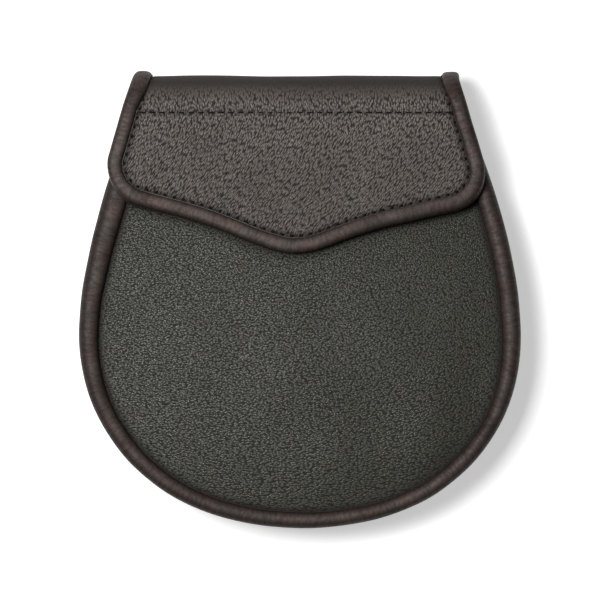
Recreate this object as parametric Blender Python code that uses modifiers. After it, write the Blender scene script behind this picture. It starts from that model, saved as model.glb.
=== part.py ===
"""A leather sporran pouch lying on its back: a pear-shaped front and back joined by a gusset,
fat rolled bindings round both, and a bound flap that folds over the top edge.

X runs across the pouch, Y up towards the fold and Z up from the table to the front.
A level is a height along Y above the lowest point of the pouch.
"""

import math

import bpy
import numpy as np

MM = 0.001

# Leather and the seams between its pieces
LEATHER = 2 * MM
GUSSET_LEATHER = 1.8 * MM
GAP = 0.3 * MM

# Outline of the pouch, seen from the front
POUCH_WIDTH = 180 * MM
WIDEST_LEVEL = 80.4 * MM
BOTTOM_FULLNESS = 2.15
MOUTH_LEVEL = 165 * MM
MOUTH_WIDTH = 137.6 * MM
SHOULDER_CURVE = 1.7

# Depth of the pouch, seen from the side
RIM_HEIGHT = 27 * MM
MOUTH_DROP = 5.5 * MM
MOUTH_DROP_LENGTH = 65 * MM
CROWN = 8 * MM
MOUTH_CROWN = 2 * MM
CROWN_FULLNESS = 2.2
PANEL_DROP = 1 * MM
BACK_PANEL_HEIGHT = 8.3 * MM
BACK_SAG = 3 * MM
BACK_SAG_FADE = (55 * MM, 105 * MM)

# Rolled bindings
FRONT_ROLL_RADIUS = 4.45 * MM
FRONT_ROLL_BOTTOM_RADIUS = 3.6 * MM
BACK_ROLL_RADIUS = 4.5 * MM
BACK_ROLL_TOP = 158 * MM
FLAP_ROLL_RADIUS = 3.1 * MM

# Gusset: how far inside the outline it stands, the inward pleat that its sides take near the mouth,
# its bulge under the pouch, and the room that its leaning edges need
GUSSET_INSET = 4.5 * MM
GUSSET_PLEAT = 2 * MM
GUSSET_BULGE = 0.8 * MM
GUSSET_LEAN = 0.2 * MM

# Flap, seen from the front
FOLD_LEVEL = 183.4 * MM
FLAP_LENGTH = 72 * MM
FLAP_TOP_WIDTH = 132.6 * MM
FLAP_WIDTH = 153.4 * MM
CORNER_RADIUS = 15.5 * MM
CORNER_DROP = 37.6 * MM
LOWER_EDGE_SLOPE = math.radians(12.4)
CORNER_HANDLE = 38.5 * MM
TIP_HANDLE = 14 * MM
FLAP_SHIFT = -1.3 * MM

# Strap loop on the back, and the press fastener under the flap. The loop's drop is its distance
# from the flap's end on the back, and the snap's rise is its centre's from the flap's binding.
STRAP_WIDTH = 26 * MM
LOOP_LENGTH = 100 * MM
LOOP_RAMP = 4 * MM
LOOP_FLANGE = 5 * MM
LOOP_DROP = 2 * MM
SNAP_RADIUS = 7 * MM
SNAP_RISE = 8 * MM

# What follows from these sizes
TIP_LEVEL = FOLD_LEVEL - FLAP_LENGTH
TOTAL_HEIGHT = FOLD_LEVEL - LEATHER / 2 + FLAP_ROLL_RADIUS
FLAP_RISE = FRONT_ROLL_RADIUS + GAP + FLAP_ROLL_RADIUS
LEG_HEIGHT = BACK_PANEL_HEIGHT - LEATHER - GAP
FOLD_RADIUS = (RIM_HEIGHT - MOUTH_DROP + FLAP_RISE - LEG_HEIGHT) / 2
FOLD_CENTRE = FOLD_LEVEL - LEATHER / 2 - FOLD_RADIUS
LEG_END = BACK_ROLL_TOP + GAP
LEG_LENGTH = FOLD_CENTRE - LEG_END
FOLD_LENGTH = math.pi * FOLD_RADIUS
LOOP_TOP = LEG_END - LOOP_DROP
LOOP_HEIGHT = STRAP_WIDTH + 2 * (LOOP_RAMP + LOOP_FLANGE)

# Fineness of the faces
OUTLINE_STEPS = 240
ROLL_STEPS = 56
FLAP_ROLL_STEPS = 84
PANEL_GRID = (14, 14)
FOLD_ROWS = 12
FLAP_ROWS = 9
FLAP_COLUMNS = 20
CORNER_CROWDING = 0.08
GUSSET_GRID = (48, 6)
LOOP_GRID = (4, 12)
LOOP_ROW_SHARES = (0, 1 / 6, 5 / 12, 1 / 2)
SNAP_SIDES = 20

POUCH_BROWN = (0.062, 0.061, 0.054)
FLAP_BROWN = (0.080, 0.071, 0.065)
BINDING_BROWN = (0.066, 0.054, 0.050)
SNAP_METAL = (0.30, 0.28, 0.25)


def smooth(share):
    """Runs from 0 to 1 and is level at both ends."""
    share = np.clip(share, 0, 1)
    return share * share * (3 - 2 * share)


def mixed(low, high, share):
    return low + (high - low) * share


def in_place(x, level, height):
    """A point of the row frame, whose origin is under the middle of the whole object."""
    return (x, level - TOTAL_HEIGHT / 2, height)


def along(points, shares):
    """Points at these shares of a line's length."""
    steps = np.linalg.norm(np.diff(points, axis=0), axis=1)
    walked = np.concatenate([[0], np.cumsum(steps)])
    wanted = np.asarray(shares) * walked[-1]
    return np.stack([np.interp(wanted, walked, column) for column in points.T], axis=-1)


def moved_in(points, distance):
    """A clockwise line moved inwards by a distance, which may differ from point to point."""
    tangent = np.gradient(points, axis=0)
    tangent /= np.linalg.norm(tangent, axis=1, keepdims=True)
    inwards = np.stack([tangent[:, 1], -tangent[:, 0]], axis=1)
    return points + inwards * np.broadcast_to(distance, len(points))[:, None]


def crowded(share):
    """Shares that lie closer together near 0 and 1."""
    return share - CORNER_CROWDING * math.sin(2 * math.pi * share)


def mirrored(right):
    """A right-hand line joined to its mirror image, from its far end to the image's."""
    left = right[::-1][1:] * (-1, 1)
    return np.concatenate([right, left])


def coons(across, upwards, top, bottom, left, right):
    """A point of the patch between four lines, each a function from 0 to 1 of a 2D point."""
    between_rows = mixed(bottom(across), top(across), upwards)
    between_sides = mixed(left(upwards), right(upwards), across)
    low = mixed(bottom(0), bottom(1), across)
    high = mixed(top(0), top(1), across)
    return between_rows + between_sides - mixed(low, high, upwards)


def half_width(level):
    """Half the width of the pouch above its widest level."""
    rise = max(level - WIDEST_LEVEL, 0) / (MOUTH_LEVEL - WIDEST_LEVEL)
    return mixed(POUCH_WIDTH, MOUTH_WIDTH, rise**SHOULDER_CURVE) / 2


def pouch_outline(top_level):
    """Outer edge of the pouch: shoulders that widen down from top_level, then a full round bottom."""
    levels = np.linspace(top_level, WIDEST_LEVEL, OUTLINE_STEPS)
    shoulder = np.array([(half_width(level), level) for level in levels])
    turn = np.linspace(0, math.pi / 2, OUTLINE_STEPS)[1:]
    power = 2 / BOTTOM_FULLNESS
    x = POUCH_WIDTH / 2 * np.clip(np.cos(turn), 0, 1) ** power
    level = WIDEST_LEVEL * (1 - np.sin(turn) ** power)
    return mirrored(np.concatenate([shoulder, np.stack([x, level], axis=1)]))


def front_roll_radius(level):
    """The front binding is slimmer under the pouch than at its sides."""
    share = smooth(level / WIDEST_LEVEL)
    return mixed(FRONT_ROLL_BOTTOM_RADIUS, FRONT_ROLL_RADIUS, share)


def rim_height(level):
    """Height of the front binding's centre: level at the bottom, sinking towards the mouth."""
    return RIM_HEIGHT - MOUTH_DROP * smooth(1 - (MOUTH_LEVEL - level) / MOUTH_DROP_LENGTH)


def panel_inset(level):
    return 2 * front_roll_radius(level) + GAP


def dome(x, level):
    """1 in the middle of a panel and 0 at its rim, on a superellipse below the widest level."""
    below = max(WIDEST_LEVEL - level, 0) / (WIDEST_LEVEL - panel_inset(0))
    side = abs(x) / (half_width(level) - panel_inset(level))
    reach = (side**BOTTOM_FULLNESS + below**BOTTOM_FULLNESS) ** (1 / BOTTOM_FULLNESS)
    return max(1 - reach**CROWN_FULLNESS, 0)


def front_height(x, level):
    """Height of the middle of the front panel's leather."""
    rise = (level - WIDEST_LEVEL) / (MOUTH_LEVEL - WIDEST_LEVEL)
    crown = mixed(CROWN, MOUTH_CROWN, smooth(rise))
    return rim_height(level) - PANEL_DROP + crown * dome(x, level)


def back_height(x, level):
    """Height of the middle of the back panel's leather, which sags below the strap loop."""
    low, high = BACK_SAG_FADE
    return BACK_PANEL_HEIGHT - BACK_SAG * dome(x, level) * smooth((high - level) / (high - low))


def flap_crown(level):
    """How far the flap's middle stands over its sides: its tip rests on the front panel."""
    tip = TIP_LEVEL + FLAP_ROLL_RADIUS
    seat = front_height(0, tip) + LEATHER / 2 + GAP + FLAP_ROLL_RADIUS
    return (seat - rim_height(tip) - FLAP_RISE) * smooth((FOLD_CENTRE - level) / (FOLD_CENTRE - tip))


def flap_height(x, level):
    """Height of the middle of the flap's leather in front of the fold."""
    side = x / (FLAP_WIDTH / 2 - FLAP_ROLL_RADIUS)
    return rim_height(level) + FLAP_RISE + flap_crown(level) * max(1 - side**2, 0)


def flap_point(x, run):
    """A point of the flap's leather, run being the way walked from its end on the back. The front
    of the flap sits a little to one side of the pouch's middle."""
    shifted = x + FLAP_SHIFT * smooth(run / (LEG_LENGTH + FOLD_LENGTH / 2))
    if run < LEG_LENGTH:
        return in_place(shifted, LEG_END + run, LEG_HEIGHT)
    turn = (run - LEG_LENGTH) / FOLD_RADIUS
    if turn < math.pi:
        rise = FOLD_RADIUS * (1 - math.cos(turn))
        return in_place(shifted, FOLD_CENTRE + FOLD_RADIUS * math.sin(turn), LEG_HEIGHT + rise)
    level = FOLD_CENTRE - (run - LEG_LENGTH - FOLD_LENGTH)
    return in_place(shifted, level, flap_height(x, level))


def side_slope():
    """Angle by which the flap's sides spread, tangent to its rounded corners."""
    corner_x = FLAP_WIDTH / 2 - CORNER_RADIUS
    across = FLAP_TOP_WIDTH / 2 - corner_x
    reach = math.hypot(across, CORNER_DROP)
    return math.asin(CORNER_RADIUS / reach) - math.atan2(across, CORNER_DROP)


def flap_fold_edge(inset):
    """Right-hand edge of the flap, moved in by inset, over its back leg and its fold, as (x, run)."""
    slope = side_slope()
    turn = np.linspace(0, math.pi, OUTLINE_STEPS)
    fold_drop = FOLD_RADIUS * (1 - np.sin(turn))
    front_x = FLAP_TOP_WIDTH / 2 + math.tan(slope) * fold_drop - inset / math.cos(slope)
    top_x = FLAP_TOP_WIDTH / 2 - inset / math.cos(slope)
    roll_x = moved_in(pouch_outline(BACK_ROLL_TOP), BACK_ROLL_RADIUS)[0][0]
    end_x = roll_x - (inset - FLAP_ROLL_RADIUS)
    back_x = mixed(top_x, end_x, fold_drop / (FOLD_RADIUS + LEG_LENGTH))
    fold_x = np.where(turn < math.pi / 2, back_x, front_x)
    fold = np.stack([fold_x, LEG_LENGTH + turn * FOLD_RADIUS], axis=1)
    return np.concatenate([[(end_x, 0)], fold])


def flap_front_edge(inset):
    """Right-hand edge of the flap in front of the fold, moved in by inset, as two (x, run) lines
    that meet in the middle of the rounded corner: the side, and the lower edge with its tip."""
    slope = side_slope()
    centre = np.array([FLAP_WIDTH / 2 - CORNER_RADIUS, FOLD_LEVEL - CORNER_DROP])
    fold_x = FLAP_TOP_WIDTH / 2 + math.tan(slope) * (FOLD_LEVEL - FOLD_CENTRE)
    middle = (slope - (math.pi / 2 - LOWER_EDGE_SLOPE)) / 2
    angles = np.linspace(slope, LOWER_EDGE_SLOPE - math.pi / 2, OUTLINE_STEPS)
    corner = centre + CORNER_RADIUS * np.stack([np.cos(angles), np.sin(angles)], axis=1)
    tip = np.array([0, TIP_LEVEL])
    towards_tip = np.array([-math.cos(LOWER_EDGE_SLOPE), -math.sin(LOWER_EDGE_SLOPE)])
    share = np.linspace(0, 1, OUTLINE_STEPS)[1:, None]
    lower = (
        (1 - share) ** 3 * corner[-1]
        + 3 * share * (1 - share) ** 2 * (corner[-1] + CORNER_HANDLE * towards_tip)
        + 3 * share**2 * (1 - share) * (tip + (TIP_HANDLE, 0))
        + share**3 * tip
    )
    edge = moved_in(np.concatenate([[(fold_x, FOLD_CENTRE)], corner, lower]), inset)
    edge[0] = (fold_x - inset / math.cos(slope), FOLD_CENTRE)
    edge[-1][0] = 0
    edge[:, 1] = LEG_LENGTH + FOLD_LENGTH + FOLD_CENTRE - edge[:, 1]
    halfway = 1 + int(np.argmin(np.abs(angles - middle)))
    return edge[: halfway + 1], edge[halfway:]


def new_material(name, colour, roughness, metallic=0.0):
    material = bpy.data.materials.new(name)
    material.use_nodes = True
    shader = material.node_tree.nodes["Principled BSDF"]
    shader.inputs["Base Color"].default_value = (*colour, 1)
    shader.inputs["Roughness"].default_value = roughness
    shader.inputs["Metallic"].default_value = metallic
    return material


def finished(piece, name, material):
    """Names a piece, gives it its material and moves it into the object's collection."""
    piece.name = name
    piece.data.name = name
    piece.data.materials.append(material)
    for collection in list(piece.users_collection):
        collection.objects.unlink(piece)
    bpy.data.collections["sporran_pouch"].objects.link(piece)
    return piece


def sheet(name, grid, place, thickness, material):
    """A leather sheet: a flat grid whose points place(across, upwards) carries to their seat,
    thickened by as much on either side."""
    columns, rows = grid
    bpy.ops.mesh.primitive_grid_add(x_subdivisions=columns, y_subdivisions=rows, size=1)
    piece = bpy.context.object
    for vertex in piece.data.vertices:
        vertex.co = place(vertex.co.x + 0.5, vertex.co.y + 0.5)
    wall = piece.modifiers.new("wall", "SOLIDIFY")
    wall.thickness = thickness
    wall.offset = 0
    wall.use_even_offset = True
    piece.data.shade_smooth()
    piece.data.set_sharp_from_angle(angle=math.radians(40))
    return finished(piece, name, material)


def roll(name, points, radii, sides, material):
    """A rolled binding: a round tube along points, its radius given at each."""
    curve = bpy.data.curves.new(name, "CURVE")
    curve.dimensions = "3D"
    curve.bevel_depth = max(radii)
    curve.bevel_resolution = sides // 2 - 2
    curve.use_fill_caps = True
    line = curve.splines.new("POLY")
    line.points.add(len(points) - 1)
    for knot, point, radius in zip(line.points, points, radii):
        knot.co = (*point, 1)
        knot.radius = radius / curve.bevel_depth
    piece = bpy.data.objects.new(name, curve)
    bpy.context.scene.collection.objects.link(piece)
    return finished(piece, name, material)


def panel(name, edge, height, material):
    """A pear-shaped panel with a straight top. Its edge line runs from the right top corner round
    to the left one, and a third of it is the patch's right side, a third its bottom, a third its left."""

    def stretch(start, end):
        return lambda share: along(edge, mixed(start, end, share))

    def top(share):
        return mixed(edge[-1], edge[0], share)

    def place(across, upwards):
        bottom, left, right = stretch(2 / 3, 1 / 3), stretch(2 / 3, 1), stretch(1 / 3, 0)
        x, level = coons(across, upwards, top, bottom, left, right)
        return in_place(x, level, height(x, level))

    return sheet(name, PANEL_GRID, place, LEATHER, material)


def front_panel(material):
    outline = pouch_outline(MOUTH_LEVEL)
    edge = moved_in(outline, [panel_inset(level) for level in outline[:, 1]])
    return panel("front_panel", edge, front_height, material)


def back_panel(material):
    """The back panel lies on the back binding's upper inner side, clear of it by the gap. It goes
    up to where the flap starts to turn over."""
    outer_face = BACK_PANEL_HEIGHT - LEATHER / 2 - BACK_ROLL_RADIUS
    reach = math.sqrt(max(BACK_ROLL_RADIUS**2 - outer_face**2, 0))
    edge = moved_in(pouch_outline(FOLD_CENTRE), BACK_ROLL_RADIUS + reach + GAP)
    return panel("back_panel", edge, back_height, material)


def gusset(material):
    """The strip between both bindings: it bulges under the pouch and is pleated inwards at its sides."""
    outline = pouch_outline(MOUTH_LEVEL)
    share_of_side = smooth((outline[:, 1] - WIDEST_LEVEL / 2) / (MOUTH_LEVEL - WIDEST_LEVEL / 2))
    swell = mixed(-GUSSET_BULGE, GUSSET_PLEAT, share_of_side)

    def place(across, upwards):
        bend = math.sin(math.pi * upwards) ** 2
        line = moved_in(outline, GUSSET_INSET + swell * bend)
        x, level = along(line, across)
        low = 2 * BACK_ROLL_RADIUS + GAP + GUSSET_LEAN
        high = rim_height(level) - front_roll_radius(level) - GAP - GUSSET_LEAN
        return in_place(x, level, mixed(low, high, upwards))

    return sheet("gusset", GUSSET_GRID, place, GUSSET_LEATHER, material)


def front_binding(material):
    outline = pouch_outline(MOUTH_LEVEL)
    line = moved_in(outline, [front_roll_radius(level) for level in outline[:, 1]])
    stations = along(line, np.linspace(0, 1, ROLL_STEPS))
    points = [in_place(x, level, rim_height(level)) for x, level in stations]
    radii = [front_roll_radius(level) for x, level in stations]
    return roll("front_binding", points, radii, 12, material)


def back_binding(material):
    line = moved_in(pouch_outline(BACK_ROLL_TOP), BACK_ROLL_RADIUS)
    stations = along(line, np.linspace(0, 1, ROLL_STEPS))
    points = [in_place(x, level, BACK_ROLL_RADIUS) for x, level in stations]
    return roll("back_binding", points, [BACK_ROLL_RADIUS] * ROLL_STEPS, 12, material)


def flap(material):
    """The flap's leather, from its end on the back over the fold to just inside its binding."""
    inset = 2 * FLAP_ROLL_RADIUS + GAP
    fold_edge = flap_fold_edge(inset)
    side, lower = flap_front_edge(inset)
    lower = mirrored(lower)
    fold_share = FOLD_ROWS / (FOLD_ROWS + FLAP_ROWS)

    def right_up(share):
        return along(side, 1 - share)

    def left_up(share):
        return right_up(share) * (-1, 1)

    def last_fold_row(share):
        return mixed(left_up(1), right_up(1), share)

    def tip_row(share):
        return along(lower, 1 - share)

    def place(across, down):
        across = crowded(across)
        if down <= fold_share:
            run = down / fold_share * (LEG_LENGTH + FOLD_LENGTH)
            edge_x = np.interp(run, fold_edge[:, 1], fold_edge[:, 0])
            return flap_point(mixed(-edge_x, edge_x, across), run)
        share = (down - fold_share) / (1 - fold_share)
        share = share + CORNER_CROWDING * math.sin(math.pi * share)
        x, run = coons(across, 1 - share, last_fold_row, tip_row, left_up, right_up)
        return flap_point(x, run)

    return sheet("flap", (FLAP_COLUMNS, FOLD_ROWS + FLAP_ROWS), place, LEATHER, material)


def flap_binding(material):
    """One roll round the flap, which starts and ends where the back binding does."""
    side, lower = flap_front_edge(FLAP_ROLL_RADIUS)
    edge = np.concatenate([flap_fold_edge(FLAP_ROLL_RADIUS)[:-1], side[:-1], lower])
    stations = along(mirrored(edge), np.linspace(0, 1, FLAP_ROLL_STEPS))
    points = [flap_point(x, run) for x, run in stations]
    return roll("flap_binding", points, [FLAP_ROLL_RADIUS] * FLAP_ROLL_STEPS, 8, material)


def strap_loop(material):
    """A leather band on the back, sewn along both long edges and open at its ends for a strap."""
    bends = (0, LOOP_FLANGE, LOOP_FLANGE + LOOP_RAMP, LOOP_HEIGHT / 2)

    def place(across, upwards):
        x = mixed(-LOOP_LENGTH, LOOP_LENGTH, across) / 2
        from_edge = np.interp(min(upwards, 1 - upwards), LOOP_ROW_SHARES, bends)
        level = LOOP_TOP - (from_edge if upwards > 0.5 else LOOP_HEIGHT - from_edge)
        seat = back_height(x, level) - LEATHER - GAP
        drop = smooth((from_edge - LOOP_FLANGE) / LOOP_RAMP)
        return in_place(x, level, mixed(seat, LEATHER / 2, drop))

    return sheet("strap_loop", LOOP_GRID, place, LEATHER, material)


def snap_disc(material):
    """The press fastener between flap and front panel, as thick as the room between them."""
    level = TIP_LEVEL + 2 * FLAP_ROLL_RADIUS + SNAP_RISE
    bpy.ops.mesh.primitive_cylinder_add(vertices=SNAP_SIDES, radius=SNAP_RADIUS, depth=1)
    piece = bpy.context.object
    for vertex in piece.data.vertices:
        x, up, end = vertex.co
        low = front_height(x, level + up) + LEATHER / 2 + GAP
        high = flap_height(x - FLAP_SHIFT, level + up) - LEATHER / 2 - GAP
        vertex.co = in_place(x, level + up, high if end > 0 else low)
    piece.data.shade_smooth()
    piece.data.set_sharp_from_angle(angle=math.radians(40))
    return finished(piece, "snap_disc", material)


def main():
    for item in list(bpy.data.objects):
        bpy.data.objects.remove(item)
    bpy.context.scene.collection.children.link(bpy.data.collections.new("sporran_pouch"))
    pouch_leather = new_material("pouch_leather", POUCH_BROWN, 0.55)
    flap_leather = new_material("flap_leather", FLAP_BROWN, 0.55)
    binding_leather = new_material("binding_leather", BINDING_BROWN, 0.45)
    front_panel(pouch_leather)
    back_panel(pouch_leather)
    gusset(pouch_leather)
    front_binding(binding_leather)
    back_binding(binding_leather)
    flap(flap_leather)
    flap_binding(binding_leather)
    strap_loop(pouch_leather)
    snap_disc(new_material("snap_metal", SNAP_METAL, 0.35, 1.0))


main()
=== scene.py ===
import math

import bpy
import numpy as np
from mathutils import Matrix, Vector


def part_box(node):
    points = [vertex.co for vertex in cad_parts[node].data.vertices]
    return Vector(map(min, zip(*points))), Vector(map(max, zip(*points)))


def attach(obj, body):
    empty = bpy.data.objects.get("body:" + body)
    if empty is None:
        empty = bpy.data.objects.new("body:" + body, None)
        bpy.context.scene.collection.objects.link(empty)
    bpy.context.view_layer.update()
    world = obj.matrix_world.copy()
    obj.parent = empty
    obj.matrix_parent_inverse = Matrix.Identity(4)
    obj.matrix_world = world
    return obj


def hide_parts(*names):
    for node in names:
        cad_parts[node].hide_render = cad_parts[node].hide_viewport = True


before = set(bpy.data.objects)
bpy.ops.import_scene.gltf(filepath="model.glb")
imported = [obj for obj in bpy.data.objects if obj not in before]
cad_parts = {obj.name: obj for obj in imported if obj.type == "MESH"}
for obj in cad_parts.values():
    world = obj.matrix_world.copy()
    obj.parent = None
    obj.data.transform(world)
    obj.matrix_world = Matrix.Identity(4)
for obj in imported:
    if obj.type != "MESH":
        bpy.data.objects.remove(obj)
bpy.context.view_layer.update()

# Looks of a leather sporran pouch that lies on its back, seen from straight above.
#
# Every leather piece is a surface worked out on a grid of points. X runs across the pouch, Y up
# towards the fold of its flap and Z up to the camera. A level is a height along Y over the pouch's
# lowest point. A run is the way walked along the flap's leather, from its end on the back over the
# fold to the front. A turn is an angle round a rolled binding, from its outer side over its top.

MM = 0.001

# Sizes that the solids have too
LEATHER = 2 * MM
GUSSET_LEATHER = 1.8 * MM
GAP = 0.3 * MM
POUCH_WIDTH = 180 * MM
WIDEST_LEVEL = 80.4 * MM
BOTTOM_FULLNESS = 2.15
MOUTH_LEVEL = 165 * MM
MOUTH_WIDTH = 137.6 * MM
SHOULDER_CURVE = 1.7
RIM_HEIGHT = 27 * MM
MOUTH_DROP = 5.5 * MM
MOUTH_DROP_LENGTH = 65 * MM
CROWN = 8 * MM
MOUTH_CROWN = 2 * MM
CROWN_FULLNESS = 2.2
PANEL_DROP = 1 * MM
BACK_PANEL_HEIGHT = 8.3 * MM
BACK_SAG = 3 * MM
BACK_SAG_FADE = (55 * MM, 105 * MM)
FRONT_ROLL_RADIUS = 4.45 * MM
FRONT_ROLL_BOTTOM_RADIUS = 3.6 * MM
BACK_ROLL_RADIUS = 4.5 * MM
BACK_ROLL_TOP = 158 * MM
FLAP_ROLL_RADIUS = 3.1 * MM
GUSSET_INSET = 4.5 * MM
GUSSET_PLEAT = 2 * MM
GUSSET_BULGE = 0.8 * MM
FOLD_LEVEL = 183.4 * MM
FLAP_LENGTH = 72 * MM
FLAP_TOP_WIDTH = 132.6 * MM
FLAP_WIDTH = 153.4 * MM
CORNER_RADIUS = 15.5 * MM
CORNER_DROP = 37.6 * MM
LOWER_EDGE_SLOPE = math.radians(12.4)
CORNER_HANDLE = 38.5 * MM
TIP_HANDLE = 14 * MM
FLAP_SHIFT = -1.3 * MM
LOOP_RAMP = 4 * MM
LOOP_FLANGE = 5 * MM
LOOP_LOW, LOOP_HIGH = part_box("strap_loop")

# What follows from them
TIP_LEVEL = FOLD_LEVEL - FLAP_LENGTH
TOTAL_HEIGHT = FOLD_LEVEL - LEATHER / 2 + FLAP_ROLL_RADIUS
FLAP_RISE = FRONT_ROLL_RADIUS + GAP + FLAP_ROLL_RADIUS
LEG_HEIGHT = BACK_PANEL_HEIGHT - LEATHER - GAP
FOLD_RADIUS = (RIM_HEIGHT - MOUTH_DROP + FLAP_RISE - LEG_HEIGHT) / 2
FOLD_CENTRE = FOLD_LEVEL - LEATHER / 2 - FOLD_RADIUS
LEG_END = BACK_ROLL_TOP + GAP
LEG_LENGTH = FOLD_CENTRE - LEG_END
FOLD_LENGTH = math.pi * FOLD_RADIUS
FRONT_RUN = LEG_LENGTH + FOLD_LENGTH
LOOP_HEIGHT = LOOP_HIGH.y - LOOP_LOW.y

# Seams: each leather's rounded edge sits in a slot of its binding
TUCK = 0.95 * MM
SLOT_DEPTH = 1.1 * MM
SLOT_HALF_WIDTH = 1.15 * MM
SLOT_SOFTNESS = 0.2 * MM
BACK_SEAT = 3.6 * MM
BACK_SEAT_TURN = 0.74 * math.pi
BACK_SEAT_DEPTH = 0.45 * MM
BACK_ROLL_REACH = 1.4 * MM
STITCH_PULL = 0.09 * MM
# SEAM_BAND is the width of the painted shade along the panels' rims and the flap's seams.
SEAM_BAND = 1.9 * MM
CUT_EDGE_ROWS = 4

# Stitching
EDGE_PITCH = 3.85 * MM
EDGE_STITCH_INSET = 0.8 * MM
EDGE_STITCH = (1.4 * MM, 0.95 * MM)
TOP_PITCH = 4 * MM
TOP_STITCH = (2.6 * MM, 0.75 * MM)
TOP_SEAM_RUN = FRONT_RUN + FOLD_CENTRE - 168.4 * MM
LEG_SEAM_RUN = 3 * MM
LOOP_SEAM_INSET = 2.2 * MM
HOLE_WIDTH = 0.6 * MM

# Relief of the leather. A swell is its height, how much it varies, and how long its waves are.
PANEL_SWELL = (0.35 * MM, 0.3 * MM, 42 * MM)
FLAP_SWELL = (0.3 * MM, 0.13 * MM, 30 * MM)
PUCKER_DEPTH = 0.07 * MM
GROOVE_WIDTH = 0.8 * MM
GROOVE_DEPTH = 0.12 * MM
TOP_GROOVE_DEPTH = 0.15 * MM
EDGE_HOLE_DEPTH = 0.24 * MM
TOP_HOLE_DEPTH = 0.22 * MM
LOOP_HOLE_DEPTH = 0.2 * MM
GUSSET_CREASE_DEPTH = 0.22 * MM

# Fineness
LINE_STEPS = 400
PANEL_SECTORS = 480
PANEL_RINGS = 105
FLESH_RINGS = 16
FLAP_COLUMNS = 220
FOLD_ROWS = 70
FLAP_ROWS = 85
GUSSET_COLUMNS = 421
GUSSET_ROWS = 27
LOOP_COLUMNS = 140
LOOP_ROWS = 66
FLAP_ROLL_POINTS = 1600
FLAP_SEAM_POINTS = 1400
RUBBING_POINTS = 500
CORNER_CROWDING = 0.08
STEP = 0.2 * MM

# How the sewn leather strays from the solids' even lines, in mm. The front roll: the way along the
# pouch's outline from its right shoulder, how far inside it the roll's middle runs, and half the
# roll's width. The flap's edge: the way along it from its right knob, and how far inwards it strays.
FRONT_ROLL_LINE = (
    (0, 4.5, 4.2), (40, 4.5, 4.1), (80, 4.5, 3.95), (100, 4.0, 3.8), (120, 3.35, 3.5),
    (150, 2.95, 3.35), (170, 2.6, 3.25), (200, 3.1, 3.25), (223, 3.2, 3.3), (245, 3.6, 3.35),
    (280, 3.8, 3.45), (310, 4.25, 3.65), (345, 4.15, 3.85), (370, 4.45, 4.1), (385, 5.0, 4.5),
    (400, 5.35, 4.8), (415, 5.3, 5.1), (430, 4.8, 4.7), (447, 4.5, 4.45),
)
FLAP_EDGE_LINE = (
    (0, 0.4), (20, 0.85), (40, 0.45), (50, -0.6), (58, -1.9), (65, -2.25), (80, -1.65), (92, -0.5),
    (108, 0.4), (128, -0.1), (145, -0.3), (165, 0), (188, -0.3), (203, 0.65), (213, 0.35),
    (220, -0.45), (228, -1.25), (240, -0.8), (255, -0.1),
)

# Which way the grain runs. On the flap: how far it leans, how soon below the fold, and how much
# more with the square of the way down. On the body: its turn in the middle, how much it grows by
# the metre to the right, with the square of that, and upwards.
FLAP_GRAIN_LEAN = (0.6, 12 * MM, 1.0)
BODY_GRAIN_TURN = (math.radians(9), math.radians(254), math.radians(1065), math.radians(-100))

# How light is painted round a roll, in radians: the width of its lighter crest, part wear and part
# painted highlight, and of the painted shade along its seams. The plain level is that of leather
# whose grain is smoothed by pulling.
CREST_WIDTH = 0.6
SEAM_SHADE = 0.4
PLAIN_LEVEL = 0.75

# The photograph's view
PHOTO_WIDTH = 0.24324
PHOTO_MIDDLE = 92.5 * MM
CAMERA_HEIGHT = 3.0
SENSOR = 36


def smooth(share):
    """Runs from 0 to 1 and is level at both ends."""
    share = np.clip(share, 0, 1)
    return share * share * (3 - 2 * share)


def mixed(low, high, share):
    """The value at this share of the way from low to high."""
    return low + (high - low) * share


def bell(distance, width):
    """1 at no distance and falling off as a Gaussian of that width."""
    return np.exp(-((distance / width) ** 2))


def unit(vectors):
    """Vectors over their lengths."""
    return vectors / np.maximum(np.linalg.norm(vectors, axis=-1, keepdims=True), 1e-12)


def stacked(*parts):
    """Arrays of like shapes as the columns of one array."""
    return np.stack(np.broadcast_arrays(*parts), axis=-1)


def in_place(x, level, height):
    """Points of the row frame, whose origin is under the middle of the whole pouch."""
    return stacked(x, level - TOTAL_HEIGHT / 2, height)


def walked(points):
    """The way walked along a line, at each of its points."""
    steps = np.linalg.norm(np.diff(points, axis=0), axis=-1)
    return np.concatenate([[0], np.cumsum(steps)])


def read_off(ways, way, values):
    """Columns of values that are known along a way, at these ways."""
    return stacked(*(np.interp(ways, way, column) for column in values.T))


def at_ways(points, ways):
    """Points of a line after these ways along it."""
    return read_off(ways, walked(points), points)


def along(points, shares):
    """Points at these shares of a line's length."""
    return at_ways(points, np.asarray(shares) * walked(points)[-1])


def evenly(points, count):
    """A line as this many points at even steps."""
    return along(points, np.linspace(0, 1, count))


def moved_in(points, distance):
    """A clockwise line moved inwards by a distance, which may differ from point to point."""
    tangent = unit(np.gradient(points, axis=0))
    inwards = stacked(tangent[:, 1], -tangent[:, 0])
    return points + inwards * np.broadcast_to(distance, len(points))[:, None]


def mirrored(right):
    """A right-hand line joined to its mirror image, from its far end to the image's."""
    left = right[::-1][1:] * (-1, 1)
    return np.concatenate([right, left])


def nearest(points, targets):
    """The distance of each point to the nearest of the targets."""
    flat = points.reshape(-1, points.shape[-1])
    parts = np.array_split(flat, max(1, len(flat) // 4000))
    found = [np.linalg.norm(part[:, None] - targets[None], axis=-1).min(axis=1) for part in parts]
    return np.concatenate(found).reshape(points.shape[:-1])


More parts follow.
